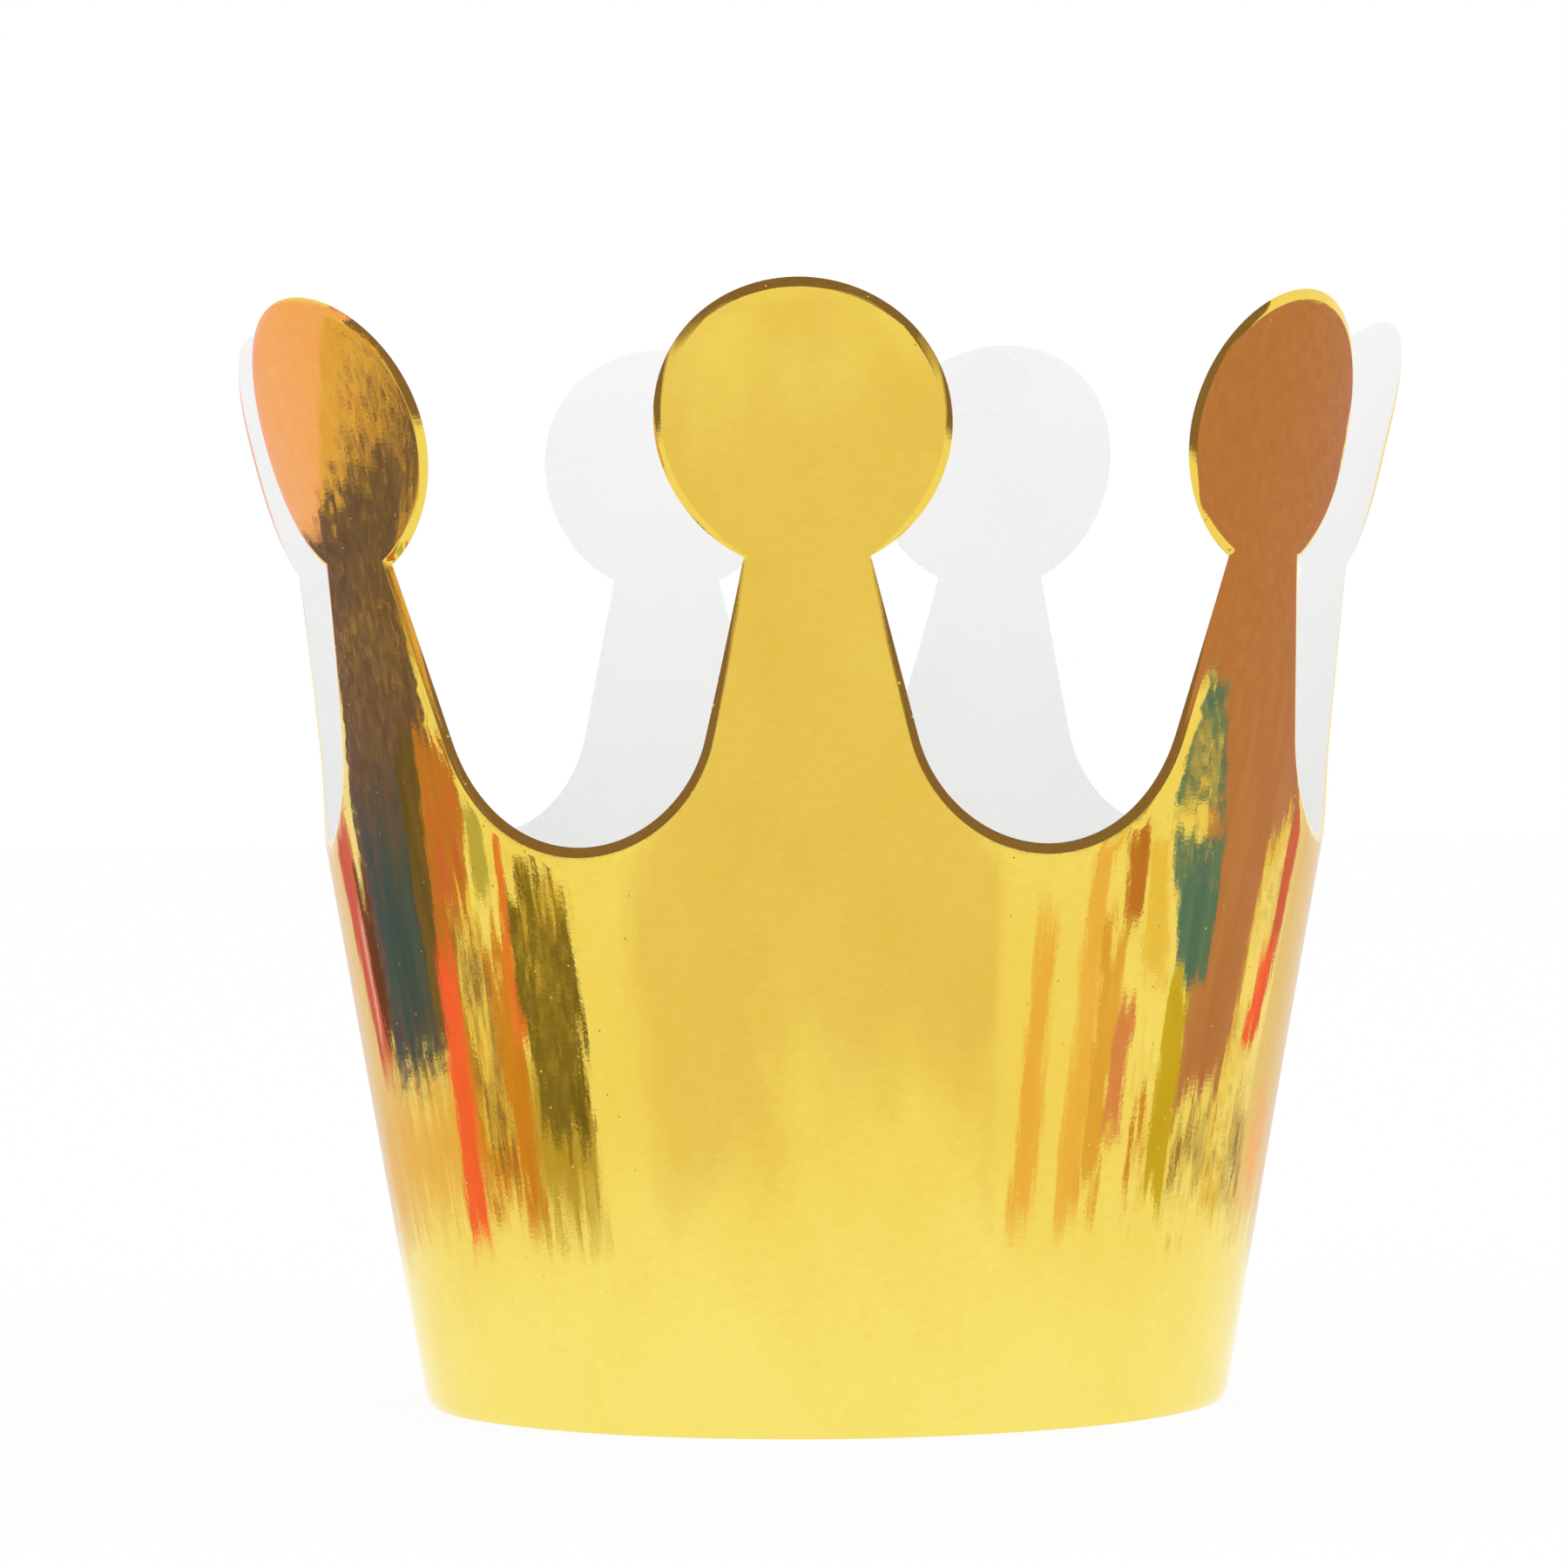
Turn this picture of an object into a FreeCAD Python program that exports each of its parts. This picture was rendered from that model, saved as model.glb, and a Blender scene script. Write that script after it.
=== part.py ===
"""Paper crown: one die-cut card strip, foil outside, closed into a flaring ring by a glued lap.

The card leans outward and curls further outward towards the points. Seven points, each ending
in a round disc, stand between round-bottomed notches. The axis is +Z, the bottom edge lies at
Z 0, and the front point faces -Y. The two ends of the strip lap at the back, each ending at the
middle of a notch, so the two rear points stand closer together than the others.
"""
import FreeCAD, Part
import math
import os
import Sketcher

# Driving sizes, in millimetres and degrees
SIZES = {
    "bottom_radius": 42.5,
    "card_thickness": 0.4,
    "wall_lean": 9.4,
    "curl_start": 68.0,
    "curl_radius": 300.0,
    "notch_height": 59.7,
    "notch_radius": 15.2,
    "notch_flare": 18.0,
    "disc_height": 101.0,
    "disc_radius": 14.7,
    "points_each_side": 3,
    "lap_angle": 14.6,
    "glue_depth": 0.05,
    "cut_overrun": 6.0,
}

# Sizes that follow from the driving ones, as the expressions that the model is bound to.
# The strip is a whole number of pitches long, and what exceeds the full turn is the lap.
PITCH = "((360 + sizes.lap_angle) / (2 * sizes.points_each_side + 1))"
HALF_TURN = "(180 + sizes.lap_angle / 2)"
LAP_SHIFT = "((sizes.card_thickness - sizes.glue_depth) / 2)"
REACH = "(2 * sizes.bottom_radius)"
WALL_TOP = "(sizes.disc_height + sizes.disc_radius + sizes.cut_overrun)"
NOTCH_CARD_RADIUS = "(sizes.bottom_radius + sizes.notch_height * tan(sizes.wall_lean))"
NOTCH_DEPTH = "(sizes.disc_height - sizes.notch_height + sizes.cut_overrun)"
CURL_START_RADIUS = "(sizes.bottom_radius + sizes.curl_start * tan(sizes.wall_lean))"
DISC_LEAN = (
    "asin(sin(sizes.wall_lean) + (sizes.disc_height - sizes.curl_start) / sizes.curl_radius)"
)
DISC_CARD_RADIUS = (
    f"({CURL_START_RADIUS} + sizes.curl_radius * (cos(sizes.wall_lean) - cos({DISC_LEAN})))"
)

doc = FreeCAD.newDocument("paper_crown")
sheet = doc.addObject("Spreadsheet::Sheet", "sizes")
for row, (alias, value) in enumerate(SIZES.items(), start=1):
    sheet.set(f"A{row}", alias)
    sheet.set(f"B{row}", str(value))
    sheet.setAlias(f"B{row}", alias)
doc.recompute()


def origin_item(body, role):
    """Return one of a body's own origin planes or axes."""
    return next(item for item in body.Origin.OriginFeatures if item.Role == role)


def new_sketch(body, name, role):
    """Start a sketch on one of its own body's origin planes."""
    sketch = body.newObject("Sketcher::SketchObject", name)
    sketch.AttachmentSupport = [(origin_item(body, role), "")]
    sketch.MapMode = "FlatFace"
    return sketch


def rule(sketch, *constraint, name="", size=""):
    """Add a constraint, and bind its value to an expression where it has one."""
    index = sketch.addConstraint(Sketcher.Constraint(*constraint))
    if size:
        sketch.renameConstraint(index, name)
        sketch.setExpression(f"Constraints.{name}", size)


def draw_section(sketch, shift):
    """Draw the card's section at the front: a straight leaning foot and an outward curl."""
    radius = SIZES["bottom_radius"]
    lean = math.radians(SIZES["wall_lean"])
    bend = SIZES["curl_start"]
    curl = SIZES["curl_radius"]
    card = SIZES["card_thickness"]
    top = SIZES["disc_height"] + SIZES["disc_radius"] + SIZES["cut_overrun"]
    top_lean = math.asin(math.sin(lean) + (top - bend) / curl)
    bend_radius = radius + bend * math.tan(lean)
    centre = FreeCAD.Vector(
        -bend_radius - curl * math.cos(lean), bend - curl * math.sin(lean), 0
    )
    upward = FreeCAD.Vector(0, 0, 1)
    foil_curl = Part.ArcOfCircle(Part.Circle(centre, upward, curl), lean, top_lean)
    pale_curl = Part.ArcOfCircle(Part.Circle(centre, upward, curl + card), lean, top_lean)
    foil_foot = FreeCAD.Vector(-radius, 0, 0)
    pale_foot = FreeCAD.Vector(-radius + card / math.cos(lean), 0, 0)

    foil_line = sketch.addGeometry(Part.LineSegment(foil_foot, foil_curl.StartPoint))
    foil_arc = sketch.addGeometry(foil_curl)
    top_line = sketch.addGeometry(Part.LineSegment(foil_curl.EndPoint, pale_curl.EndPoint))
    pale_arc = sketch.addGeometry(pale_curl)
    pale_line = sketch.addGeometry(Part.LineSegment(pale_curl.StartPoint, pale_foot))
    foot_line = sketch.addGeometry(Part.LineSegment(pale_foot, foil_foot))

    rule(sketch, "Tangent", foil_line, 2, foil_arc, 1)
    rule(sketch, "Tangent", pale_line, 1, pale_arc, 1)
    rule(sketch, "Coincident", foil_arc, 3, pale_arc, 3)
    rule(sketch, "Coincident", foil_arc, 2, top_line, 1)
    rule(sketch, "Coincident", top_line, 2, pale_arc, 2)
    rule(sketch, "Coincident", pale_line, 2, foot_line, 1)
    rule(sketch, "Coincident", foot_line, 2, foil_line, 1)
    rule(sketch, "Parallel", foil_line, pale_line)
    rule(sketch, "Horizontal", top_line)
    rule(sketch, "Horizontal", foot_line)
    rule(sketch, "PointOnObject", foil_line, 1, -1)
    rule(
        sketch, "DistanceX", foil_line, 1, -1, 1, radius,
        name="radius", size=f"sizes.bottom_radius + {shift}",
    )
    rule(
        sketch, "Angle", foil_line, math.pi / 2 + lean,
        name="lean", size="(90 + sizes.wall_lean) * 1 deg",
    )
    rule(sketch, "DistanceY", -1, 1, foil_line, 2, bend, name="bend", size="sizes.curl_start")
    rule(sketch, "Radius", foil_arc, curl, name="curl", size="sizes.curl_radius")
    rule(
        sketch, "Distance", foil_line, 2, pale_line, card,
        name="card", size="sizes.card_thickness",
    )
    rule(sketch, "DistanceY", -1, 1, foil_arc, 2, top, name="top", size=WALL_TOP)


def draw_notch(sketch):
    """Draw a notch square to the card: a round bottom at the origin, and straight sides."""
    radius = SIZES["notch_radius"]
    flare = math.radians(SIZES["notch_flare"])
    depth = SIZES["disc_height"] - SIZES["notch_height"] + SIZES["cut_overrun"]
    centre = FreeCAD.Vector(0, radius, 0)
    upward = FreeCAD.Vector(0, 0, 1)
    bottom = Part.ArcOfCircle(
        Part.Circle(centre, upward, radius), math.pi + flare, 2 * math.pi - flare
    )
    left_foot, right_foot = bottom.StartPoint, bottom.EndPoint
    widening = (depth - left_foot.y) * math.tan(flare)
    left_top = FreeCAD.Vector(left_foot.x - widening, depth, 0)
    right_top = FreeCAD.Vector(right_foot.x + widening, depth, 0)

    arc = sketch.addGeometry(bottom)
    right = sketch.addGeometry(Part.LineSegment(right_foot, right_top))
    mouth = sketch.addGeometry(Part.LineSegment(right_top, left_top))
    left = sketch.addGeometry(Part.LineSegment(left_top, left_foot))

    rule(sketch, "Tangent", arc, 2, right, 1)
    rule(sketch, "Tangent", left, 2, arc, 1)
    rule(sketch, "Coincident", right, 2, mouth, 1)
    rule(sketch, "Coincident", mouth, 2, left, 1)
    rule(sketch, "Horizontal", mouth)
    rule(sketch, "PointOnObject", arc, 3, -2)
    rule(sketch, "Equal", left, right)
    rule(sketch, "Radius", arc, radius, name="radius", size="sizes.notch_radius")
    rule(
        sketch, "DistanceY", -1, 1, arc, 3, radius,
        name="bottom", size="sizes.notch_radius",
    )
    rule(
        sketch, "Angle", right, math.pi / 2 - flare,
        name="flare", size="(90 - sizes.notch_flare) * 1 deg",
    )
    rule(sketch, "DistanceY", -1, 1, mouth, 1, depth, name="depth", size=NOTCH_DEPTH)


def draw_disc(sketch):
    """Draw the round end of a point, square to the card, about the origin."""
    circle = Part.Circle(
        FreeCAD.Vector(0, 0, 0), FreeCAD.Vector(0, 0, 1), SIZES["disc_radius"]
    )
    disc = sketch.addGeometry(circle)
    rule(sketch, "Coincident", disc, 3, -1, 1)
    rule(sketch, "Radius", disc, SIZES["disc_radius"], name="radius", size="sizes.disc_radius")


def wall_half(name, side):
    """Revolve the section from the front to just past the back, by +X or by -X.

    The half that goes by -X turns about an axis a little way back and is as much larger, so
    that it meets the other at the front and lies on the outside of it in the lap.
    """
    shift = LAP_SHIFT if side < 0 else "0"
    body = doc.addObject("PartDesign::Body", name)
    body.setExpression("Placement.Base.y", shift)
    sketch = new_sketch(body, f"{name}_section", "YZ_Plane")
    draw_section(sketch, shift)
    wall = body.newObject("PartDesign::Revolution", f"{name}_wall")
    wall.Profile = sketch
    wall.ReferenceAxis = (sketch, ["V_Axis"])
    wall.Reversed = side < 0
    wall.setExpression("Angle", HALF_TURN)
    body.Tip = wall
    return body


def punch(name, side, draw, height, card_radius, lean, first):
    """Make the die's punches for one half: the first one, and its copies a pitch apart.

    Each is drawn square to the card where the card has this radius and lean at this height,
    and is driven outward from the axis. The first stands this far round from the front.
    """
    body = doc.addObject("PartDesign::Body", name)
    body.Placement.Rotation = FreeCAD.Rotation(FreeCAD.Vector(0, 0, 1), 1)
    body.setExpression("Placement.Rotation.Angle", f"{side} * {first} * 1 deg")
    sketch = new_sketch(body, f"{name}_outline", "XZ_Plane")
    sketch.AttachmentOffset = FreeCAD.Placement(
        FreeCAD.Vector(0, 0, 0), FreeCAD.Rotation(FreeCAD.Vector(1, 0, 0), 1)
    )
    sketch.setExpression("AttachmentOffset.Base.y", f"{height} + {card_radius} * tan({lean})")
    sketch.setExpression("AttachmentOffset.Rotation.Angle", f"{lean} * 1 deg")
    draw(sketch)
    tool = body.newObject("PartDesign::Pad", f"{name}_tool")
    tool.Profile = sketch
    tool.setExpression("Length", REACH)
    row = body.newObject("PartDesign::PolarPattern", f"{name}_row")
    row.Originals = [tool]
    row.Axis = (origin_item(body, "Z_Axis"), [""])
    row.Mode = "Spacing"
    row.Reversed = side < 0
    row.setExpression("Offset", PITCH)
    row.setExpression("Occurrences", "sizes.points_each_side + 1")
    body.Tip = row
    return body


def combine(kind, name, base, tool):
    """Make a boolean of two objects."""
    result = doc.addObject(kind, name)
    result.Base = base
    result.Tool = tool
    return result


def crown_half(name, side, stalk_space):
    """Cut one half of the strip: notches below the middle of the discs, discs above."""
    wall = wall_half(f"{name}_wall_half", side)
    notches = punch(
        f"{name}_notches", side, draw_notch, "sizes.notch_height",
        NOTCH_CARD_RADIUS, "sizes.wall_lean", f"{PITCH} / 2",
    )
    discs = punch(
        f"{name}_discs", side, draw_disc, "sizes.disc_height",
        DISC_CARD_RADIUS, DISC_LEAN, "0",
    )
    low_wall = combine("Part::Common", f"{name}_low_wall", wall, stalk_space)
    stalks = combine("Part::Cut", f"{name}_stalks", low_wall, notches)
    tops = combine("Part::Common", f"{name}_tops", wall, discs)
    return combine("Part::Fuse", f"{name}_card", stalks, tops)


stalk_space = doc.addObject("Part::Cylinder", "stalk_space")
stalk_space.setExpression("Radius", REACH)
stalk_space.setExpression("Height", "sizes.disc_height")
crown = combine(
    "Part::Fuse", "crown",
    crown_half("right", 1, stalk_space), crown_half("left", -1, stalk_space),
)
crown.Refine = True
crown.Label = "crown"
doc.recompute()

for item in doc.Objects:
    if "Invalid" in item.State or "Error" in item.State:
        raise RuntimeError(f"{item.Name} failed: {item.State}")
    if item.isDerivedFrom("Part::Feature") and not item.isDerivedFrom("Part::Part2DObject"):
        if item.Shape.isNull() or not item.Shape.isValid():
            raise RuntimeError(f"{item.Name} has no valid shape")
        print(item.Name, round(item.Shape.Volume, 1))
shape = crown.Shape
if shape.isNull() or not shape.isValid() or len(shape.Solids) != 1:
    raise RuntimeError("the crown isn't one valid solid")

os.makedirs("parts", exist_ok=True)
shape.exportStep(f"parts/{crown.Label}.step")
print("crown volume, mm3:", round(shape.Volume, 1))
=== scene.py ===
import math

import bpy
import numpy as np
from mathutils import Matrix, Vector
from mathutils.geometry import delaunay_2d_cdt
from mathutils.kdtree import KDTree


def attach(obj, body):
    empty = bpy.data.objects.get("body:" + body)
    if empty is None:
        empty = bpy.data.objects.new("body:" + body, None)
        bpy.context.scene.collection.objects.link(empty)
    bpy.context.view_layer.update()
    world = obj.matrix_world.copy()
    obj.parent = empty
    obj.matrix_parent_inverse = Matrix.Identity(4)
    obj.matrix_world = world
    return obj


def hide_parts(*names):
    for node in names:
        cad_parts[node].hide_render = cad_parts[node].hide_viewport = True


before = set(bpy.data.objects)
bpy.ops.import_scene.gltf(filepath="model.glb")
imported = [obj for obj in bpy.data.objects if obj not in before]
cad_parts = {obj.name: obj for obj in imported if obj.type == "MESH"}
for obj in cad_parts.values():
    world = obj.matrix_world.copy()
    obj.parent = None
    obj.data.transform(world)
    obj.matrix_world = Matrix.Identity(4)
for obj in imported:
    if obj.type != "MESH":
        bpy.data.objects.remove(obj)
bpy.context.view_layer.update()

# Sizes of the folded card, in millimetres and radians, the same as the CAD model's
MM = 0.001
BOTTOM_RADIUS = 42.5
CARD_THICKNESS = 0.4
WALL_LEAN = math.radians(9.4)
CURL_START = 68.0
CURL_RADIUS = 300.0
NOTCH_HEIGHT = 59.7
NOTCH_RADIUS = 15.2
NOTCH_FLARE = math.radians(18.0)
DISC_HEIGHT = 101.0
DISC_RADIUS = 14.7
POINTS_EACH_SIDE = 3
LAP_ANGLE = math.radians(14.6)
PITCH = (2 * math.pi + LAP_ANGLE) / (2 * POINTS_EACH_SIDE + 1)
HALF_TURN = math.pi + LAP_ANGLE / 2
FOOT_SLANT = CURL_START / math.cos(WALL_LEAN)
CARD_TOP = DISC_HEIGHT + DISC_RADIUS

# Sizes of the finish
LAP_GAP = 0.02
LAP_SHIFT = (CARD_THICKNESS + LAP_GAP) / 2
INSET = 0.05
ROLL_WIDTH = 1.0
ROLL_DEPTH = 0.37
ROLL_POWER = 1.3
EDGE_STEP = 0.8
RING_DISTANCES = (0.0, 0.15, 0.35, 0.55, 0.72, 0.84, 0.93, 1.0)
# How far each disc is bent from true, from the point left of the lap round to its right:
# outward from the axis, and aside towards +X at the front
POINT_OUTWARD = (-0.4, -0.2, 0.9, 0.0, -1.4, 0.0, -1.4)
POINT_ASIDE = (-1.5, -1.5, 1.5, -0.5, -0.1, 1.5, 0.2)
# How far the ring is pressed outward at its left and right, most at the notches
SIDE_BULGE = (0.4, 1.0)
CORNER_TURN = math.radians(20)
CORNER_REACH = 5.0
FOIL_GRID = 1.3
PALE_GRID = 2.2
GRID_RADIUS = 50.0
# Nearest a grid point comes to the border, in grid spacings, and rounds to settle a cut
BORDER_GAP = 0.6
CUT_ROUNDS = 12


def profile(slant):
    """Radius, height and lean of the foil face at a distance up the card."""
    lean = WALL_LEAN + np.maximum(slant - FOOT_SLANT, 0) / CURL_RADIUS
    foot = np.minimum(slant, FOOT_SLANT)
    radius = BOTTOM_RADIUS + foot * math.sin(WALL_LEAN)
    radius = radius + CURL_RADIUS * (math.cos(WALL_LEAN) - np.cos(lean))
    height = foot * math.cos(WALL_LEAN)
    height = height + CURL_RADIUS * (np.sin(lean) - math.sin(WALL_LEAN))
    return radius, height, lean


def slant_at(height):
    """Distance up the card at a height."""
    curl = np.maximum(height - CURL_START, 0) / CURL_RADIUS
    lean = np.arcsin(math.sin(WALL_LEAN) + curl)
    return np.minimum(height, CURL_START) / math.cos(WALL_LEAN) + CURL_RADIUS * (lean - WALL_LEAN)


def on_card(across, up, height, lean):
    """Azimuth and slant where the die, square to the card at a height, cuts it."""
    card_radius = profile(slant_at(height))[0]
    level = height
    for _ in range(CUT_ROUNDS):
        radius = profile(slant_at(level))[0]
        turn = np.arcsin(across / radius)
        drop = (card_radius - radius * np.cos(turn)) * math.sin(lean)
        level = height + (up + drop) / math.cos(lean)
    return np.stack([turn, slant_at(level)], axis=1)


def on_die(places, height, lean):
    """The die's own coordinates, square to the card at a height, of places on the card."""
    card_radius = profile(slant_at(height))[0]
    radius, level, _ = profile(places[:, 1])
    inward = (radius * np.cos(places[:, 0]) - card_radius) * math.sin(lean)
    return radius * np.sin(places[:, 0]), inward + (level - height) * math.cos(lean)


def evenly(start, end, step):
    """Values from start to end, both included, about a step apart."""
    return np.linspace(start, end, max(2, round(abs(end - start) / step) + 1))


def half_point():
    """The cut edge from a notch's bottom, up the right side of a point, to its disc's top."""
    arc = evenly(0, math.pi / 2 - NOTCH_FLARE, EDGE_STEP / NOTCH_RADIUS)
    foot_across = -NOTCH_RADIUS * np.sin(arc)
    foot_up = NOTCH_RADIUS * (1 - np.cos(arc))

    def stalk(distance):
        across = foot_across[-1] - distance * math.sin(NOTCH_FLARE)
        up = foot_up[-1] + distance * math.cos(NOTCH_FLARE)
        places = on_card(across, up, NOTCH_HEIGHT, WALL_LEAN)
        return places + (PITCH / 2, 0)

    disc_lean = profile(slant_at(DISC_HEIGHT))[2]
    trial = np.linspace(0, DISC_HEIGHT - NOTCH_HEIGHT - foot_up[-1], 400)
    x, y = on_die(stalk(trial), DISC_HEIGHT, disc_lean)
    inside = int(np.argmax(np.hypot(x, y) < DISC_RADIUS))
    excess = np.hypot(x, y) - DISC_RADIUS
    neck = np.interp(0, [excess[inside], excess[inside - 1]], [trial[inside], trial[inside - 1]])
    neck_angle = math.atan2(y[inside], x[inside])
    turn = evenly(neck_angle, math.pi / 2, EDGE_STEP / DISC_RADIUS)[1:]
    disc = on_card(
        DISC_RADIUS * np.cos(turn), DISC_RADIUS * np.sin(turn), DISC_HEIGHT, disc_lean
    )
    foot = on_card(foot_across, foot_up, NOTCH_HEIGHT, WALL_LEAN) + (PITCH / 2, 0)
    return np.concatenate([foot, stalk(evenly(0, neck, EDGE_STEP))[1:], disc])


def card_outline():
    """The whole cut edge, clockwise, as azimuth and slant."""
    right = half_point()
    left = right * (-1, 1)
    point = np.concatenate([left[:-1], right[::-1][:-1]])
    places = [
        point + (k * PITCH, 0) for k in range(-POINTS_EACH_SIDE, POINTS_EACH_SIDE + 1)
    ]
    notch = slant_at(NOTCH_HEIGHT)
    end = evenly(notch, 0, EDGE_STEP)
    places.append(np.stack([np.full(len(end), HALF_TURN), end], axis=1)[:-1])
    bottom = evenly(HALF_TURN, -HALF_TURN, EDGE_STEP / BOTTOM_RADIUS)
    places.append(np.stack([bottom, np.zeros(len(bottom))], axis=1)[:-1])
    start = end[::-1][:-1]
    places.append(np.stack([np.full(len(start), -HALF_TURN), start], axis=1))
    return np.concatenate(places)


def inward_steps(places):
    """How azimuth and slant change for each millimetre inward from the cut edge.

    Beside a corner the steps turn towards the corner's own, so that no two of them cross.
    """
    radius = profile(places[:, 1])[0]
    ahead = np.roll(places, -1, axis=0) - places
    ahead[:, 0] *= radius
    length = np.linalg.norm(ahead, axis=1)
    ahead /= length[:, None]
    normal = np.stack([ahead[:, 1], -ahead[:, 0]], axis=1)
    before = np.roll(normal, 1, axis=0)
    likeness = np.sum(normal * before, axis=1)
    mitre = (normal + before) / (1 + likeness)[:, None]
    step = mitre.copy()
    count = len(places)
    for corner in np.flatnonzero(likeness < math.cos(CORNER_TURN)):
        for way in (1, -1):
            away = ahead[corner] if way > 0 else -ahead[corner - 1]
            share = mitre[corner] @ away
            walked, here = 0.0, corner
            while True:
                walked += length[here if way > 0 else here - 1]
                here = (here + way) % count
                if walked >= CORNER_REACH:
                    break
                along = ahead[here] if way > 0 else -ahead[here - 1]
                step[here] += along * share * (1 - walked / CORNER_REACH)
    step[:, 0] /= radius
    return step


def fill(ring, spacing):
    """Grid points and triangles inside a ring. The ring's own points come first."""
    flat = ring * (GRID_RADIUS, 1)
    tree = KDTree(len(flat))
    for i, (x, y) in enumerate(flat):
        tree.insert((x, y, 0), i)
    tree.balance()
    low, high = flat.min(0), flat.max(0)
    points = [Vector(p) for p in flat]
    row_height = spacing * math.sqrt(3) / 2
    for row in range(int((high[1] - low[1]) / row_height) + 1):
        y = low[1] + row * row_height
        for x in np.arange(low[0] + spacing / 2 * (row % 2), high[0], spacing):
            if tree.find((x, y, 0))[2] > BORDER_GAP * spacing:
                points.append(Vector((x, y)))
    border = list(range(len(flat)))
    made = delaunay_2d_cdt(points, [], [border[::-1]], 0, 1e-6, True)
    vertices = made[0]
    triangles = np.array([face for face, within in zip(made[2], made[5]) if within])
    source = np.array([ids[0] if ids else -1 for ids in made[3]])
    if sorted(source[source < len(flat)]) != border or (source < 0).any():
        raise RuntimeError("the card's fill changed its own border")
    used = np.unique(triangles)
    order = used[np.argsort(source[used])]
    place = np.full(len(vertices), -1)
    place[order] = np.arange(len(order))
    found = np.array([vertices[i] for i in order]) / (GRID_RADIUS, 1)
    return found, place[triangles]


def waviness(azimuth, slant):
    """How far the card bulges outward, in millimetres. The glued ends stay true."""
    along = azimuth * GRID_RADIUS
    wave = 0.05 * np.sin(along / 5.1 + slant / 40 + 0.6)
    wave = wave + 0.07 * np.sin(along / 8.7 - slant / 31 + 2.1)
    wave = wave + 0.06 * np.sin(along / 17 + slant / 13 + 4.0)
    near_end = np.clip((HALF_TURN - np.abs(azimuth)) * GRID_RADIUS / 30 - 0.5, 0, 1)
    return wave * near_end**2 * (3 - 2 * near_end)


def to_space(places, depth):
    """Points in metres of places on the card, at a depth under the foil face."""
    azimuth, slant = places[:, 0], places[:, 1]
    radius, height, lean = profile(slant)
    point = np.clip(np.round(azimuth / PITCH), -POINTS_EACH_SIDE, POINTS_EACH_SIDE).astype(int)
    raised = np.maximum(height - NOTCH_HEIGHT, 0) / (DISC_HEIGHT - NOTCH_HEIGHT)
    outward = np.array(POINT_OUTWARD)[point + POINTS_EACH_SIDE] * raised**2
    aside = np.array(POINT_ASIDE)[point + POINTS_EACH_SIDE] * raised**2
    bulge = np.where(azimuth < 0, *SIDE_BULGE) * np.sin(azimuth)**2
    outward = outward + bulge * np.minimum(height / NOTCH_HEIGHT, 1) * np.maximum(1 - raised**2, 0)
    azimuth = azimuth + aside / radius
    under = depth + INSET - waviness(azimuth, slant) - outward
    radius = radius - under * np.cos(lean)
    height = (height + depth * np.sin(lean)) * (1 - INSET / CARD_TOP)
    shift = np.where(azimuth < 0, LAP_SHIFT, 0)
    x = (radius + shift) * np.sin(azimuth)
    y = shift - (radius + shift) * np.cos(azimuth)
    return np.stack([x, y, height], axis=1) * MM


def card_mesh():
    """The crown's card as one closed mesh: foil face, pale face and cut edge."""
    outline = card_outline()
    step = inward_steps(outline)
    rings = [outline + distance * step for distance in RING_DISTANCES]
    count = len(outline)
    foil_inner, foil_triangles = fill(rings[-1], FOIL_GRID)
    pale_places, pale_triangles = fill(outline, PALE_GRID)

    foil_places = np.concatenate(rings[:-1] + [foil_inner])
    edge_distance = np.full(len(foil_places), ROLL_WIDTH)
    for i, distance in enumerate(RING_DISTANCES[:-1]):
        edge_distance[i * count:(i + 1) * count] = distance
    roll = ROLL_DEPTH * (1 - edge_distance / ROLL_WIDTH) ** ROLL_POWER
    foil_points = to_space(foil_places, roll)
    pale_points = to_space(pale_places, np.full(len(pale_places), CARD_THICKNESS))

    faces = []
    materials = []
    here = np.arange(count)
    there = np.roll(here, -1)
    for i in range(len(rings) - 1):
        band = np.stack([here, here + count, there + count, there], axis=1) + i * count
        faces += band.tolist()
    faces += (foil_triangles + (len(rings) - 1) * count).tolist()
    materials += [0] * len(faces)
    pale_start = len(foil_places)
    faces += (pale_triangles[:, ::-1] + pale_start).tolist()
    materials += [1] * len(pale_triangles)
    faces += np.stack([here, there, there + pale_start, here + pale_start], axis=1).tolist()
    materials += [2] * count

    mesh = bpy.data.meshes.new("crown_card")
    mesh.from_pydata(np.concatenate([foil_points, pale_points]).tolist(), [], faces)
    mesh.polygons.foreach_set("material_index", materials)
    mesh.polygons.foreach_set("use_smooth", [True] * len(faces))
    flat = np.zeros((len(mesh.vertices), 3))
    flat[:, 0] = np.concatenate([foil_places, pale_places])[:, 0] * GRID_RADIUS
    flat[:, 1] = np.concatenate([foil_places, pale_places])[:, 1]
    flat[:pale_start, 2] = edge_distance
    attribute = mesh.attributes.new("flat", "FLOAT_VECTOR", "POINT")
    attribute.data.foreach_set("vector", flat.astype(np.float32).ravel())
    borders = set()
    for start in (0, pale_start):
        for a, b in zip(here + start, there + start):
            borders.add((min(a, b), max(a, b)))
    sharp = [tuple(sorted(edge.vertices)) in borders for edge in mesh.edges]
    mesh.attributes.new("sharp_edge", "BOOLEAN", "EDGE").data.foreach_set("value", sharp)
    mesh.update()
    if mesh.validate():
        raise RuntimeError("the card's mesh was faulty")
    return mesh


card = bpy.data.objects.new("crown_card", card_mesh())
bpy.context.scene.collection.objects.link(card)


# Materials
def new_material(name):
    """A new material and its node tree, which is still empty."""
    material = bpy.data.materials.new(name)
    material.use_nodes = True
    material.node_tree.nodes.clear()
    return material, material.node_tree


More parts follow.
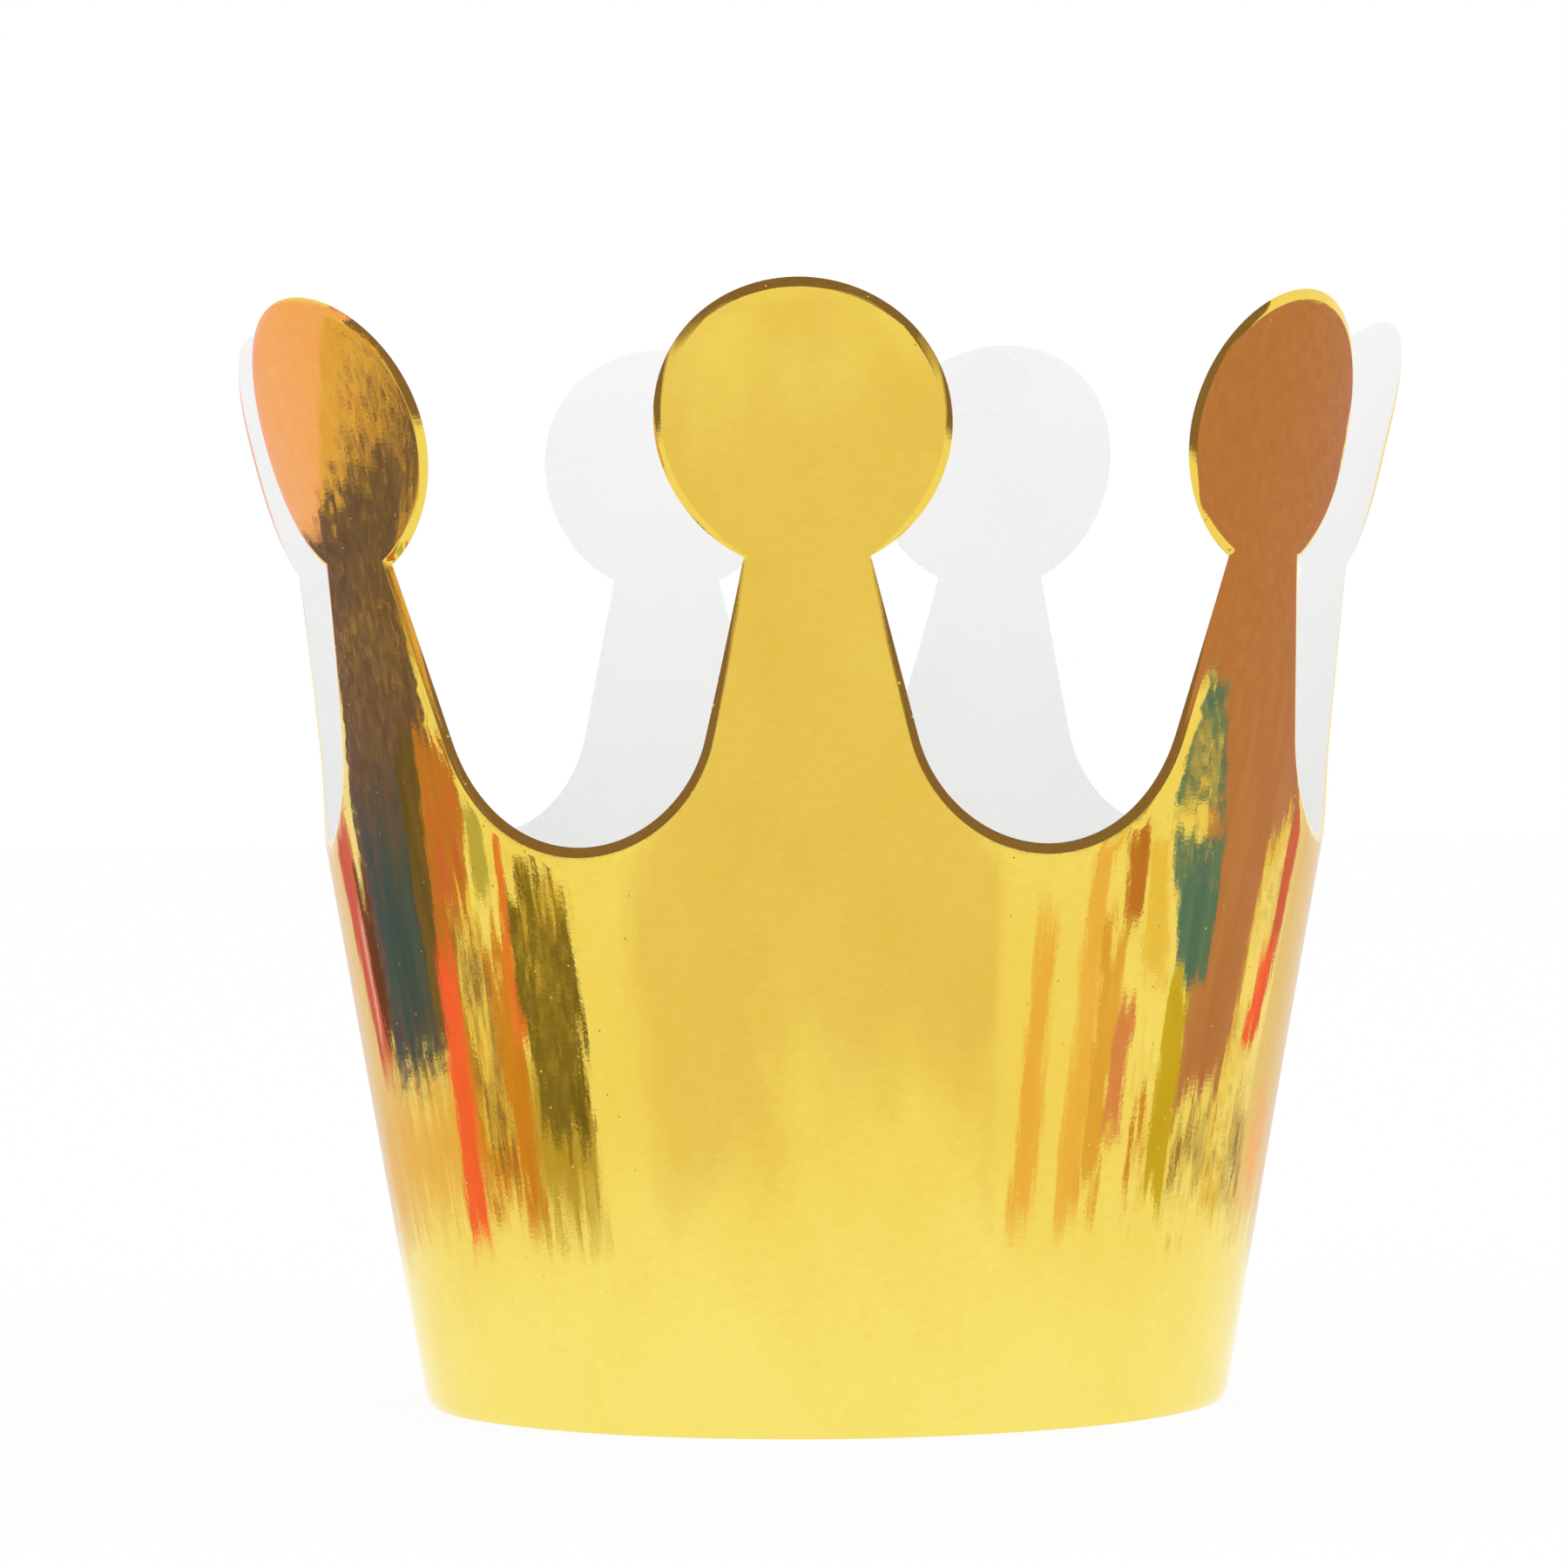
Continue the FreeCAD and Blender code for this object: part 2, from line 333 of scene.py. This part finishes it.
def add(tree, kind, inputs=None, **settings):
    """Add a node. Inputs are values, or sockets to link from."""
    node = tree.nodes.new(kind)
    for key, value in settings.items():
        setattr(node, key, value)
    for key, value in (inputs or {}).items():
        if isinstance(value, bpy.types.NodeSocket):
            tree.links.new(value, node.inputs[key])
        else:
            node.inputs[key].default_value = value
    return node


def card_noise(tree, stretch, scale, detail=2.0, roughness=0.5):
    """Noise laid out on the flat card, in waves per millimetre, with a stretch."""
    place = add(tree, "ShaderNodeAttribute", attribute_name="flat")
    mapped = add(
        tree, "ShaderNodeMapping",
        {"Vector": place.outputs["Vector"], "Scale": stretch},
    )
    noise = add(
        tree, "ShaderNodeTexNoise",
        {
            "Vector": mapped.outputs["Vector"], "Scale": scale,
            "Detail": detail, "Roughness": roughness,
        },
    )
    return noise.outputs["Fac"]


def ramp(tree, value, low, high, start, end):
    """Turn a value between start and end into a colour between low and high."""
    node = add(tree, "ShaderNodeValToRGB", {"Fac": value})
    node.color_ramp.elements[0].position = start
    node.color_ramp.elements[0].color = (*low, 1)
    node.color_ramp.elements[1].position = end
    node.color_ramp.elements[1].color = (*high, 1)
    return node.outputs["Color"]


LEMON_GOLD = (0.96, 0.790, 0.170)
DEEP_GOLD = (0.885, 0.645, 0.096)
# Millimetres up the card over which painted shade darkens the gold, which is painted lighter low
# down, and what that adds to the tone
PAINTED_SHADE_FROM = (5.0, 30.0)
PAINTED_SHADE_BY = (-0.12, -0.97)
CLOUD_SHARE = 1.4
MOTTLE_SHARE = 0.8
# Depths of the foil's relief, in metres, and the size of its few pits
STREAK_RELIEF = 0.00003
GRAIN_RELIEF = 0.000006
PIT_RELIEF = 0.00003
PIT_RADIUS = 0.022


def foil_material():
    """Mirror gold foil: lemon low down and deeper above as painted light and shade, with a fine
    grain and a few pits.
    """
    material, tree = new_material("gold_foil")
    place = add(tree, "ShaderNodeAttribute", attribute_name="flat")
    parts = add(tree, "ShaderNodeSeparateXYZ", {"Vector": place.outputs["Vector"]})
    # Painted light and shade: the gold's tone is set lighter low down and darker higher up
    height = add(
        tree, "ShaderNodeMapRange",
        {"Value": parts.outputs["Y"], "From Min": PAINTED_SHADE_FROM[0], "From Max": PAINTED_SHADE_FROM[1],
         "To Min": PAINTED_SHADE_BY[0], "To Max": PAINTED_SHADE_BY[1]},
    )
    cloud = card_noise(tree, (1, 0.6, 0), 0.06, 4.0, 0.6)
    mottle = card_noise(tree, (0.6, 1, 0), 1.1, 4.0, 0.7)
    tone = add(
        tree, "ShaderNodeMath", {0: cloud, 1: CLOUD_SHARE, 2: height.outputs["Result"]},
        operation="MULTIPLY_ADD",
    )
    tone = add(
        tree, "ShaderNodeMath", {0: mottle, 1: MOTTLE_SHARE, 2: tone.outputs["Value"]},
        operation="MULTIPLY_ADD",
    )
    colour = ramp(tree, tone.outputs["Value"], DEEP_GOLD, LEMON_GOLD, 0.0, 1.0)
    gloss = card_noise(tree, (1, 0.3, 0), 0.3, 3.0)
    rough = add(
        tree, "ShaderNodeMapRange",
        {"Value": gloss, "From Min": 0.3, "From Max": 0.7, "To Min": 0.03, "To Max": 0.07},
    )
    streak = card_noise(tree, (1, 0.15, 0), 0.45, 2.0, 0.5)
    coarse = add(
        tree, "ShaderNodeBump",
        {"Height": streak, "Strength": 1.0, "Distance": STREAK_RELIEF},
    )
    grain = card_noise(tree, (0.5, 1, 0), 2.6, 3.0, 0.6)
    fine = add(
        tree, "ShaderNodeBump",
        {
            "Height": grain, "Strength": 1.0, "Distance": GRAIN_RELIEF,
            "Normal": coarse.outputs["Normal"],
        },
    )
    spots = add(
        tree, "ShaderNodeTexVoronoi",
        {"Vector": place.outputs["Vector"], "Scale": 0.17, "Randomness": 1.0},
        voronoi_dimensions="2D",
    )
    pit = add(
        tree, "ShaderNodeMapRange",
        {"Value": spots.outputs["Distance"], "From Min": 0.0, "From Max": PIT_RADIUS,
         "To Min": 1.0, "To Max": 0.0},
    )
    pitted = add(
        tree, "ShaderNodeBump",
        {
            "Height": pit.outputs["Result"], "Strength": 1.0, "Distance": PIT_RELIEF,
            "Normal": fine.outputs["Normal"],
        },
    )
    shader = add(
        tree, "ShaderNodeBsdfPrincipled",
        {
            "Base Color": colour, "Metallic": 1.0, "Roughness": rough.outputs["Result"],
            "Normal": pitted.outputs["Normal"],
        },
    )
    add(tree, "ShaderNodeOutputMaterial", {"Surface": shader.outputs["BSDF"]})
    return material


def pale_material():
    """The uncoated inside of the card: pale, with a faint fibre."""
    material, tree = new_material("pale_card")
    fibre = card_noise(tree, (1, 1, 0), 1.6, 4.0, 0.65)
    cloud = card_noise(tree, (1, 1, 0), 0.06, 3.0)
    mixed = add(
        tree, "ShaderNodeMath", {0: fibre, 1: cloud}, operation="ADD",
    )
    colour = ramp(
        tree, mixed.outputs["Value"], (0.895, 0.895, 0.895), (0.93, 0.93, 0.925), 0.7, 1.0
    )
    bump = add(
        tree, "ShaderNodeBump",
        {"Height": fibre, "Strength": 0.5, "Distance": 0.00002},
    )
    shader = add(
        tree, "ShaderNodeBsdfPrincipled",
        {
            "Base Color": colour, "Roughness": 0.62, "Normal": bump.outputs["Normal"],
            "Specular IOR Level": 0.35,
        },
    )
    add(tree, "ShaderNodeOutputMaterial", {"Surface": shader.outputs["BSDF"]})
    return material


def cut_material():
    """The die-cut edge of the card: bare board, a little rougher, and darker as painted shade
    along the edge.
    """
    material, tree = new_material("cut_edge")
    fibre = card_noise(tree, (1, 1, 0), 3.0, 3.0, 0.7)
    # The mottle is the board's own fibre; the overall grey is painted shade along the cut edge
    colour = ramp(tree, fibre, (0.70, 0.69, 0.67), (0.86, 0.85, 0.83), 0.3, 0.7)
    shader = add(
        tree, "ShaderNodeBsdfPrincipled", {"Base Color": colour, "Roughness": 0.85},
    )
    add(tree, "ShaderNodeOutputMaterial", {"Surface": shader.outputs["BSDF"]})
    return material


for made in (foil_material(), pale_material(), cut_material()):
    card.data.materials.append(made)
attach(card, "root")
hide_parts("crown")


# Studio
def background_share(tree):
    """One for camera, glossy and transmission rays, and zero for the rest."""
    path = add(tree, "ShaderNodeLightPath")
    first = add(
        tree, "ShaderNodeMath",
        {0: path.outputs["Is Camera Ray"], 1: path.outputs["Is Glossy Ray"]},
        operation="MAXIMUM",
    )
    both = add(
        tree, "ShaderNodeMath",
        {0: first.outputs["Value"], 1: path.outputs["Is Transmission Ray"]},
        operation="MAXIMUM",
    )
    return both.outputs["Value"]


FLOOR_SIZE = 6.0
FLOOR_COLOUR = (0.95, 0.95, 0.95)
# How much of the floor is plain white to the eye. The rest takes the object's shadow.
FLOOR_WHITE = 0.93
WORLD_LIGHT = 1.0


def floor_material():
    """White floor that keeps a soft share of the object's shadow."""
    material, tree = new_material("floor_white")
    diffuse = add(tree, "ShaderNodeBsdfDiffuse", {"Color": (*FLOOR_COLOUR, 1)})
    glow = add(tree, "ShaderNodeEmission", {"Color": (1, 1, 1, 1), "Strength": 1.0})
    share = add(
        tree, "ShaderNodeMath", {0: background_share(tree), 1: FLOOR_WHITE},
        operation="MULTIPLY",
    )
    mixed = add(
        tree, "ShaderNodeMixShader",
        {0: share.outputs["Value"], 1: diffuse.outputs["BSDF"], 2: glow.outputs["Emission"]},
    )
    add(tree, "ShaderNodeOutputMaterial", {"Surface": mixed.outputs["Shader"]})
    return material


def make_floor():
    """A plain pale floor."""
    mesh = bpy.data.meshes.new("floor")
    half = FLOOR_SIZE / 2
    corners = [(-half, -half, 0), (half, -half, 0), (half, half, 0), (-half, half, 0)]
    mesh.from_pydata(corners, [], [(0, 1, 2, 3)])
    mesh.materials.append(floor_material())
    floor = bpy.data.objects.new("floor", mesh)
    bpy.context.scene.collection.objects.link(floor)


def make_world():
    """White all round: plain light for the object, full white behind it."""
    world = bpy.data.worlds.new("studio")
    world.use_nodes = True
    tree = world.node_tree
    tree.nodes.clear()
    shader = add(
        tree, "ShaderNodeBackground", {"Color": (1, 1, 1, 1), "Strength": WORLD_LIGHT},
    )
    add(tree, "ShaderNodeOutputWorld", {"Surface": shader.outputs["Background"]})
    bpy.context.scene.world = world


def soft_lamp(name, place, size, watts):
    """A square soft lamp aimed at the middle of the crown."""
    light = bpy.data.lights.new(name, "AREA")
    light.shape = "SQUARE"
    light.size = size
    light.energy = watts
    lamp = bpy.data.objects.new(name, light)
    bpy.context.scene.collection.objects.link(lamp)
    lamp.location = place
    aim = Vector((0, 0, 0.05)) - Vector(place)
    lamp.rotation_mode = "QUATERNION"
    lamp.rotation_quaternion = aim.to_track_quat("-Z", "Y")
    lamp.visible_glossy = False


make_floor()
make_world()
soft_lamp("key_lamp", (-0.6, -0.8, 1.0), 0.8, 0.9)
soft_lamp("fill_lamp", (0.9, -0.3, 0.8), 0.8, 0.6)

# Coloured studio cards round the object. Only reflections see them. Each is a patch of an
# upright ring, given by the azimuth in degrees and the height in millimetres of its corners:
# foot left, foot right, head right, head left. Then come the width of its ragged fringe in
# millimetres, the share that it covers, and its flecks. A later card hides an earlier one.
# Flecks have a width and a height in millimetres, and a softness.
RING_RADIUS = 92.0
RING_STEP = 0.12
SPECKLE = (0.8, 0.5, 0.10)
FINE = (1.2, 0.6, 0.06)
GRAIN = (2.2, 1.1, 0.05)
THREAD = (0.9, 7.0, 0.08)
STREAK = (1.7, 9.0, 0.10)
SOFT_STREAK = (1.6, 14.0, 0.45)
CLOUD = (9.0, 5.0, 0.5)
VEIL = (40.0, 40.0, 0.4)
# Distance from a card's foot or head counts by this share, so the fringe is wider there
END_FADE = 0.4
PATCH_STEPS = 24
CARD_SEED = 7.3
SIDE_SEED = 5.9
ROOM_SEED = 3.1
# The noise values that flecks run between, and how far a whole card's cover goes past full
FLECK_SPAN = (0.28, 0.72)
COVER_REACH = 1.04
# The powers that darken and lighten a card's colour, and the size of those patches in flecks
DARKER = 1.12
LIGHTER = 0.94
TINT_SIZE = 2.3
WHITE = (1.00, 0.98, 0.95)
CENTRE = (0.90, 0.83, 0.80)
PEACH = (1.00, 0.60, 0.86)
AMBER = (0.84, 0.56, 0.42)
PALE_AMBER = (0.88, 0.65, 0.50)
DARK_BROWN = (0.165, 0.128, 0.32)
RED_BROWN = (0.19, 0.080, 0.10)
TEAL = (0.070, 0.125, 0.42)
OLIVE_BROWN = (0.18, 0.14, 0.15)
ORANGE_BROWN = (0.58, 0.26, 0.16)
RED = (0.98, 0.19, 0.24)
RUST = (0.68, 0.18, 0.26)
PINK = (0.85, 0.46, 1.00)
ORANGE = (0.85, 0.29, 0.20)
HONEY = (0.68, 0.33, 0.12)
YELLOW_OLIVE = (0.55, 0.56, 0.40)
DARK_OLIVE = (0.21, 0.18, 0.12)
OLIVE_GOLD = (0.56, 0.45, 0.22)
TAN = (0.86, 0.74, 0.70)
BROWN_ORANGE = (0.54, 0.280, 0.42)
GREEN = (0.125, 0.28, 0.80)
YELLOW = (0.90, 0.76, 0.48)
FAINT_ORANGE = (0.93, 0.66, 0.46)
PALE_HONEY = (0.82, 0.54, 0.32)
SALMON = (1.00, 0.62, 0.60)
BROWN = (0.32, 0.19, 0.20)
DULL_RUST = (0.77, 0.36, 0.50)
OLIVE_YELLOW = (0.64, 0.55, 0.13)
STUDIO_CARDS = [
    ("centre", CENTRE, (-35, 0), (35, 0), (35, 114), (-35, 114), 18, 1, VEIL),
    ("tan_left", TAN, (-155, 5), (-100, 5), (-108, 62), (-155, 62), 5, 1, SOFT_STREAK),
    ("amber_low", PALE_AMBER, (-126, 3), (-62, 2), (-66, 28), (-126, 26), 6, 1, SOFT_STREAK),
    ("amber_high", AMBER, (-112, 62), (-44, 62), (-44, 112), (-112, 118), 5, 1, GRAIN),
    ("rust_left", RUST, (-113, 24), (-104, 24), (-106, 60), (-119, 60), 3, 1, SOFT_STREAK),
    ("pink_left", PINK, (-111, 28), (-108, 28), (-107, 46), (-110, 46), 2, 0.7, STREAK),
    ("red_brown", RED_BROWN, (-107, 23), (-97, 22), (-97, 52), (-109, 52), 4, 1, STREAK),
    ("brown_stem", DARK_BROWN, (-103, 20), (-80, 20), (-59, 90), (-101, 88), 4, 1, GRAIN),
    ("brown_disc", DARK_BROWN, (-100, 60), (-46, 60), (-49, 112), (-62, 104), 13, 1, SPECKLE),
    ("brown_specks", AMBER, (-103, 50), (-60, 50), (-58, 90), (-104, 90), 9, 0.24, SPECKLE),
    ("peach_left", PEACH, (-130, 79), (-89, 79), (-44, 118), (-130, 130), 2.5, 1, FINE),
    ("teal_left", TEAL, (-101, 20), (-82, 20), (-79, 58), (-99, 58), 9, 1, SOFT_STREAK),
    ("foot_left", RED_BROWN, (-108, 20), (-82, 20), (-82, 27), (-108, 27), 3, 0.5, FINE),
    ("olive_brown", OLIVE_BROWN, (-84, 24), (-78, 24), (-71, 64), (-81, 64), 3, 0.9, STREAK),
    ("honey_left", HONEY, (-76, 3), (-57, 2), (-56, 42), (-76, 42), 5, 0.85, STREAK),
    ("orange_left", ORANGE_BROWN, (-80, 27), (-70, 27), (-58, 63), (-74, 63), 3, 1, STREAK),
    ("orange_lines", RUST, (-79, 32), (-68, 32), (-60, 62), (-72, 62), 4, 0.36, THREAD),
    ("red_left", RED, (-83, 0.5), (-75, 0.5), (-72, 39), (-79, 39), 3, 1, SOFT_STREAK),
    ("glitter_left", YELLOW, (-74, 8), (-63, 8), (-62, 46), (-73, 46), 4, 0.75, STREAK),
    ("cracks_left", BROWN, (-73, 4), (-62, 4), (-61, 44), (-73, 46), 4, 0.45, THREAD),
    ("sparks_left", WHITE, (-73, 14), (-63, 14), (-62, 46), (-72, 46), 4, 0.30, FINE),
    ("yellow_olive", YELLOW_OLIVE, (-64, 38), (-58, 38), (-57, 58), (-63, 58), 3, 0.9, STREAK),
    ("honey_low", HONEY, (-64, 2), (-57, 2), (-56, 32), (-61, 32), 3, 1, SOFT_STREAK),
    ("orange_line", ORANGE, (-60, 24), (-56, 24), (-54, 51), (-57, 51), 1.5, 1, STREAK),
    ("olive_fade", OLIVE_GOLD, (-60, 0.5), (-43, 0.5), (-42, 24), (-58, 24), 6, 1, SOFT_STREAK),
    ("olive_left", DARK_OLIVE, (-58, 10), (-42, 10), (-42, 49), (-56, 49), 4.5, 1, STREAK),
    ("olive_gaps", YELLOW, (-58, 29), (-41, 29), (-41, 54), (-58, 54), 9, 0.62, THREAD),
    ("olive_sparks", YELLOW, (-57, 12), (-42, 12), (-42, 48), (-57, 48), 4, 0.22, FINE),
    ("tan_right", TAN, (104, 5), (155, 5), (155, 62), (106, 62), 5, 1, SOFT_STREAK),
    ("brown_right", BROWN_ORANGE, (75, 16), (91, 16), (114, 84), (65, 84), 4, 1, STREAK),
    ("brown_head", BROWN_ORANGE, (44, 66), (103, 66), (102, 112), (46, 112), 1.5, 1, FINE),
    ("green_low", GREEN, (71, 31), (79, 31), (77, 52), (62, 52), 2, 1, STREAK),
    ("green_high", GREEN, (61, 50), (77, 50), (71, 70), (66, 70), 2.5, 1, GRAIN),
    ("green_specks", YELLOW, (62, 42), (77, 42), (72, 70), (65, 70), 4, 0.42, FINE),
    ("yellow_right", YELLOW, (61, 30), (69, 30), (63, 52), (58, 52), 2.5, 0.9, GRAIN),
    ("brown_small", ORANGE_BROWN, (56, 34), (61, 34), (59, 54), (51, 54), 3, 0.95, STREAK),
    ("band_a", FAINT_ORANGE, (36, 1), (43, 1), (42, 42), (37, 42), 4, 1, SOFT_STREAK),
    ("band_b", WHITE, (42, 10), (48, 10), (48, 50), (43, 50), 4, 0.8, THREAD),
    ("band_c", FAINT_ORANGE, (46, 1), (53, 1), (52, 54), (46, 54), 4, 1, SOFT_STREAK),
    ("band_d", PALE_HONEY, (50, 2), (58, 2), (57, 44), (50, 44), 4, 0.8, STREAK),
    ("rust_right", DULL_RUST, (55, 12), (61, 12), (61, 34), (55, 34), 3, 1, STREAK),
    ("honey_right", HONEY, (61, 3), (69, 3), (68, 30), (62, 30), 4, 0.5, THREAD),
    ("olive_right", OLIVE_YELLOW, (68, 5), (76, 5), (75, 36), (68, 36), 3, 1, STREAK),
    ("foot_right", BROWN, (74, 2), (112, 2), (104, 30), (74, 26), 5, 0.50, THREAD),
    ("glitter_right", YELLOW, (87, 4), (98, 4), (101, 60), (90, 54), 3, 0.95, STREAK),
    ("cracks_right", BROWN, (87, 4), (99, 4), (101, 58), (90, 52), 4, 0.42, THREAD),
    ("sparks_right", WHITE, (88, 8), (98, 8), (100, 56), (90, 52), 3, 0.58, FINE),
    ("bright_spot", WHITE, (90, 28), (97, 28), (97, 44), (90, 44), 3, 0.9, GRAIN),
    ("rust_line", RUST, (97, 26), (102, 26), (107, 60), (100, 58), 2.5, 1, STREAK),
    ("red_right", RED, (94, 27), (101, 27), (104, 43), (96, 41), 2, 1, STREAK),
    ("salmon_spot", SALMON, (108, 10), (124, 10), (122, 26), (110, 26), 6, 1, CLOUD),
    ("rear_amber", PALE_AMBER, (163, 3), (176, 3), (174, 60), (165, 60), 4, 1, STREAK),
    ("rear_brown", BROWN, (186, 16), (193, 16), (195, 70), (184, 70), 4, 0.8, STREAK),
]

# Dark uprights of the room, which only the rolled edges of the foil reflect
SIDE_RADIUS = 200.0
SIDE_CARDS = [
    ("dark_left", (-68, 24), (-30, 24), (-30, 260), (-68, 260)),
    ("dark_right", (30, 24), (68, 24), (68, 260), (30, 260)),
    ("dark_front", (-36, 86), (36, 86), (36, 260), (-36, 260)),
]
SIDE_FRINGE = 8.0
SIDE_FLECKS = (3.0, 2.0, 0.06)
DARK_COVER = 0.88

# The dark room above the camera, which the same edges reflect
ROOM_RADIUS = 900.0
ROOM_COLOUR = (0.27, 0.185, 0.24)
ROOM_CORNERS = ((-78, 3), (78, 3), (78, 90), (-78, 90))
ROOM_FRINGE = 25.0
ROOM_FLECKS = (16.0, 9.0, 0.06)


def card_light(name, colour, fringe, cover, flecks, seed):
    """The glow of a studio card, which breaks up into flecks along its fringe."""
    material, tree = new_material(name)
    place = add(tree, "ShaderNodeAttribute", attribute_name="patch")
    parts = add(tree, "ShaderNodeSeparateXYZ", {"Vector": place.outputs["Vector"]})
    width, height, softness = flecks

    def flecked(width, height, detail):
        scale = (1 / width, 1 / height, 0)
        mapped = add(
            tree, "ShaderNodeMapping",
            {"Vector": place.outputs["Vector"], "Scale": scale, "Location": (seed, seed, seed)},
        )
        noise = add(
            tree, "ShaderNodeTexNoise",
            {"Vector": mapped.outputs["Vector"], "Scale": 1.0, "Detail": detail},
        )
        spread = add(
            tree, "ShaderNodeMapRange",
            {"Value": noise.outputs["Fac"], "From Min": FLECK_SPAN[0],
             "From Max": FLECK_SPAN[1]},
        )
        return spread.outputs["Result"]

    depth = add(
        tree, "ShaderNodeMapRange",
        {"Value": parts.outputs["Z"], "From Max": fringe, "To Max": cover * COVER_REACH},
    )
    total = add(
        tree, "ShaderNodeMath",
        {0: depth.outputs["Result"], 1: flecked(width, height, 3.0)}, operation="ADD",
    )
    solid = add(
        tree, "ShaderNodeMapRange",
        {"Value": total.outputs["Value"], "From Min": 1 - softness, "From Max": 1 + softness / 4},
    )
    low = [part**DARKER for part in colour]
    high = [part**LIGHTER for part in colour]
    tint = ramp(tree, flecked(TINT_SIZE * width, TINT_SIZE * height, 2.0), low, high, 0.1, 0.9)
    glow = add(tree, "ShaderNodeEmission", {"Color": tint, "Strength": 1.0})
    clear = add(tree, "ShaderNodeBsdfTransparent")
    mixed = add(
        tree, "ShaderNodeMixShader",
        {0: solid.outputs["Result"], 1: clear.outputs["BSDF"], 2: glow.outputs["Emission"]},
    )
    add(tree, "ShaderNodeOutputMaterial", {"Surface": mixed.outputs["Shader"]})
    material.cycles.emission_sampling = "NONE"
    return material


def only_reflected(item):
    """Let an object be seen in reflections and nowhere else."""
    item.visible_camera = False
    item.visible_diffuse = False
    item.visible_transmission = False
    item.visible_volume_scatter = False
    item.visible_shadow = False


def studio_card(name, material, corners, unit, place):
    """A patch with four corners. The unit is a degree's length; place gives a point."""
    foot_left, foot_right, head_right, head_left = np.array(corners, dtype=float)
    steps = np.linspace(0, 1, PATCH_STEPS + 1)
    across, up = np.meshgrid(steps, steps)
    across, up = across.ravel()[:, None], up.ravel()[:, None]
    foot = foot_left + (foot_right - foot_left) * across
    head = head_left + (head_right - head_left) * across
    spots = foot + (head - foot) * up
    border = np.array([foot_left, foot_right, head_right, head_left]) * unit
    inside = np.full(len(spots), np.inf)
    for a, b, fade in zip(border, np.roll(border, -1, axis=0), (END_FADE, 1) * 2):
        run = (b - a) / np.linalg.norm(b - a)
        away = spots * unit - a
        inside = np.minimum(inside, fade * np.abs(run[0] * away[:, 1] - run[1] * away[:, 0]))
    faces = []
    for row in range(PATCH_STEPS):
        for column in range(PATCH_STEPS):
            first = row * (PATCH_STEPS + 1) + column
            above = first + PATCH_STEPS + 1
            faces.append((first, first + 1, above + 1, above))
    mesh = bpy.data.meshes.new(name)
    mesh.from_pydata([place(*spot) for spot in spots], [], faces)
    patch = np.concatenate([spots * unit, inside[:, None]], axis=1)
    attribute = mesh.attributes.new("patch", "FLOAT_VECTOR", "POINT")
    attribute.data.foreach_set("vector", patch.astype(np.float32).ravel())
    mesh.materials.append(material)
    item = bpy.data.objects.new(name, mesh)
    bpy.context.scene.collection.objects.link(item)
    only_reflected(item)


def on_ring(radius):
    """The function that gives a ring's point at an azimuth and a height."""
    def place(azimuth, height):
        turn = math.radians(azimuth)
        return radius * math.sin(turn) * MM, -radius * math.cos(turn) * MM, height * MM

    return place


def on_dome(azimuth, elevation):
    """The dome's point at an azimuth and an elevation."""
    turn, lift = math.radians(azimuth), math.radians(elevation)
    level = ROOM_RADIUS * math.cos(lift) * MM
    return level * math.sin(turn), -level * math.cos(turn), ROOM_RADIUS * math.sin(lift) * MM


def make_studio_cards():
    """The ring of coloured cards, each a little nearer than the one before."""
    unit = np.array([RING_RADIUS * math.radians(1), 1.0])
    for i, (name, colour, *corners, fringe, cover, flecks) in enumerate(STUDIO_CARDS):
        material = card_light(name, colour, fringe, cover, flecks, CARD_SEED * i)
        studio_card(name, material, corners, unit, on_ring(RING_RADIUS - RING_STEP * i))


def make_dark_room():
    """The dark uprights and the dark dome above them."""
    unit = np.array([SIDE_RADIUS * math.radians(1), 1.0])
    for name, *corners in SIDE_CARDS:
        material = card_light(name, ROOM_COLOUR, SIDE_FRINGE, DARK_COVER, SIDE_FLECKS, SIDE_SEED)
        studio_card(name, material, corners, unit, on_ring(SIDE_RADIUS))
    unit = np.full(2, ROOM_RADIUS * math.radians(1))
    material = card_light("room", ROOM_COLOUR, ROOM_FRINGE, DARK_COVER, ROOM_FLECKS, ROOM_SEED)
    studio_card("room", material, ROOM_CORNERS, unit, on_dome)


make_studio_cards()
make_dark_room()

# Camera, as the photograph was taken, in its pixels, millimetres and radians
PHOTO_WIDTH = 1800
FOCAL_PIXELS = 7507.9
CAMERA_DISTANCE = 697.4
CAMERA_HEIGHT = 73.2
CAMERA_AZIMUTH = 0.0145
CAMERA_ROLL = -0.0099
CAMERA_PITCH = 0.0113
AXIS_PIXEL = 949.6
SENSOR_WIDTH = 36.0


def make_camera():
    """The camera at the photograph's viewing angle."""
    data = bpy.data.cameras.new("camera")
    data.sensor_width = SENSOR_WIDTH
    data.lens = FOCAL_PIXELS / PHOTO_WIDTH * SENSOR_WIDTH
    camera = bpy.data.objects.new("camera", data)
    bpy.context.scene.collection.objects.link(camera)
    turn = Matrix.Rotation(CAMERA_AZIMUTH, 3, "Z") @ Matrix.Rotation(-CAMERA_ROLL, 3, "Y")
    aside = math.atan((AXIS_PIXEL - PHOTO_WIDTH / 2) / FOCAL_PIXELS)
    forward = Vector((0, math.cos(CAMERA_PITCH), -math.sin(CAMERA_PITCH)))
    right = Vector((1, 0, 0))
    aimed = forward * math.cos(aside) - right * math.sin(aside)
    right = right * math.cos(aside) + forward * math.sin(aside)
    up = right.cross(aimed)
    place = turn @ Vector((0, -CAMERA_DISTANCE, CAMERA_HEIGHT)) * MM
    axes = Matrix((turn @ right, turn @ up, turn @ -aimed)).transposed()
    camera.matrix_world = Matrix.Translation(place) @ axes.to_4x4()
    bpy.context.scene.camera = camera


make_camera()
bpy.context.scene.view_settings.view_transform = "Standard"
